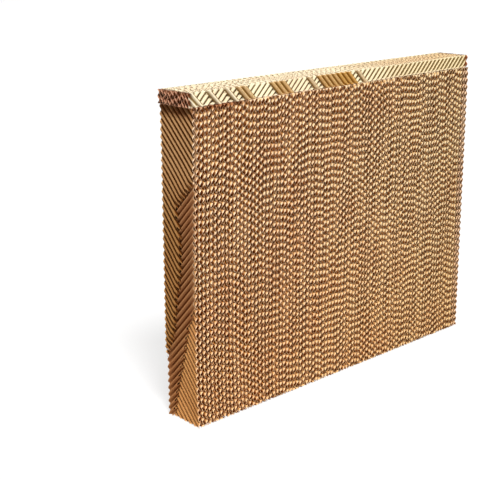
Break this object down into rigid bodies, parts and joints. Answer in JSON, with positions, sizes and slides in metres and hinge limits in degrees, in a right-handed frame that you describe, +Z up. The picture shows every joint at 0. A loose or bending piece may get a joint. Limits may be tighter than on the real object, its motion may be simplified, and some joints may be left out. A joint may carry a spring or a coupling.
{
  "type": "evaporative cooling pad",
  "caption": "Upright block of glued, cross-fluted kraft paper sheets that air and trickling water pass through, with a fluted water distribution strip on top.",
  "frame": {"origin": "centre of the bounding box, on the floor plane that the block's lower long edge stands on", "axes": "+X along the block's length, across the stack of sheets, +Y the way the air flows, from the front face to the back face, +Z up"},
  "size_m": [0.914, 0.1, 0.697],
  "materials": {
    "pad_paper": "matte",
    "strip_paper": "matte"
  },
  "bodies": {
    "root": {"outer_torn_sheet": "pad_paper", "second_torn_sheet": "pad_paper", "near_end_sheets": "pad_paper", "layers_near": "pad_paper", "layers_mid_near": "pad_paper", "layers_mid_far": "pad_paper", "layers_far": "pad_paper", "far_end_sheets": "pad_paper", "strip_patches": "strip_paper", "strip_front_sheets": "strip_paper", "strip_layers": "strip_paper", "strip_back_sheets": "strip_paper"}
  },
  "joints": []
}
